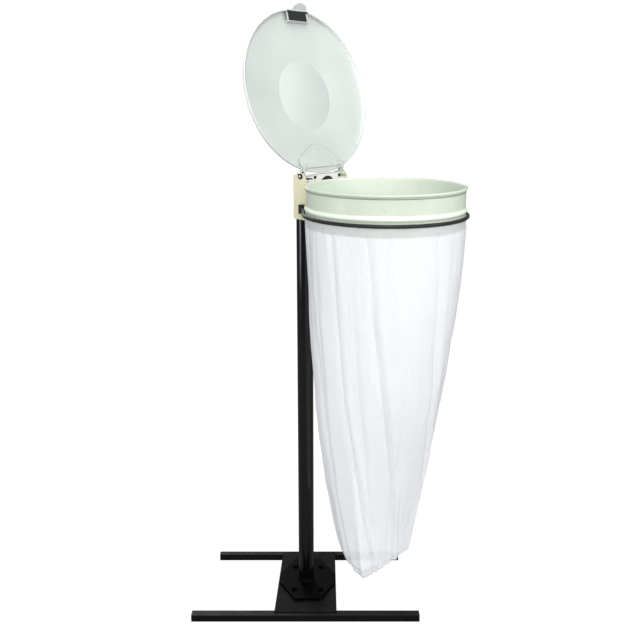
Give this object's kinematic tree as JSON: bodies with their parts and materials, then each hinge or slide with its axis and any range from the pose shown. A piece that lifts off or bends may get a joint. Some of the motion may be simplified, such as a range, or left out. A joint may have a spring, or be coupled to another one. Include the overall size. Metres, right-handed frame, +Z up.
{
  "type": "waste bag holder",
  "caption": "Free-standing bag holder: H-shaped base, post, round hoop with an elastic band that holds a hanging bag, and a hinged lid.",
  "frame": {"origin": "on the floor, on the axis of the post", "axes": "+X along the skids, +Z up, -Y towards the front skid; the hoop points at +X -Y, 45 degrees from both"},
  "size_m": [0.7324, 0.5844, 1.6739],
  "materials": {
    "black_powder_coat": "semi-gloss powder coat",
    "post_black": "semi-gloss powder coat",
    "plate_black": "satin powder coat",
    "flange_black": "semi-gloss powder coat",
    "black_plastic": "moulded, matte",
    "black_steel": "blackened",
    "cream_paint": "satin paint",
    "hoop_paint": "satin pale green paint",
    "lid_paint": "satin pale green paint",
    "zinc_steel": "zinc plated",
    "white_nylon": "moulded",
    "band_rubber": "matte rubber",
    "bag_film": "translucent polyethylene film"
  },
  "bodies": {
    "stand": {"front_skid": "black_powder_coat", "rear_skid": "black_powder_coat", "skid_end_caps": "black_plastic", "base_plate": "plate_black", "foot_flange": "flange_black", "flange_bolts": "black_steel", "flange_washers": "black_steel", "flange_nuts": "black_steel", "post": "post_black", "post_weld_ring": "flange_black", "post_cap": "black_plastic", "post_adapter": "black_powder_coat", "adapter_bolts": "black_steel", "adapter_nuts": "black_steel", "hinge_bracket": "cream_paint", "bracket_screws": "black_steel", "bracket_nuts": "black_steel", "access_hole_plug": "black_plastic", "fixing_hole_plugs": "black_plastic", "hoop": "hoop_paint", "hoop_spacers": "zinc_steel", "hoop_screws": "black_steel", "bag": "bag_film", "elastic_band": "band_rubber", "band_clips": "black_plastic", "clip_rivets": "black_steel", "hinge_pin": "lid_paint", "pin_spacers": "white_nylon", "pin_end_bushes": "black_plastic", "lid_stops": "black_plastic"},
    "lid": {"lid_shell": "lid_paint", "lid_hinge_leaf": "lid_paint", "leaf_rivets": "lid_paint", "ear_rivets": "black_steel", "lid_handle": "lid_paint", "lid_buffer": "band_rubber", "handle_rivets": "lid_paint"}
  },
  "joints": [
    {"name": "lid_hinge", "type": "hinge", "parent": "stand", "child": "lid", "pos_m": [0.04752, -0.04752, 1.2431], "axis": [0.7071, 0.7071, 0], "range_deg": [0, 105.1]}
  ]
}
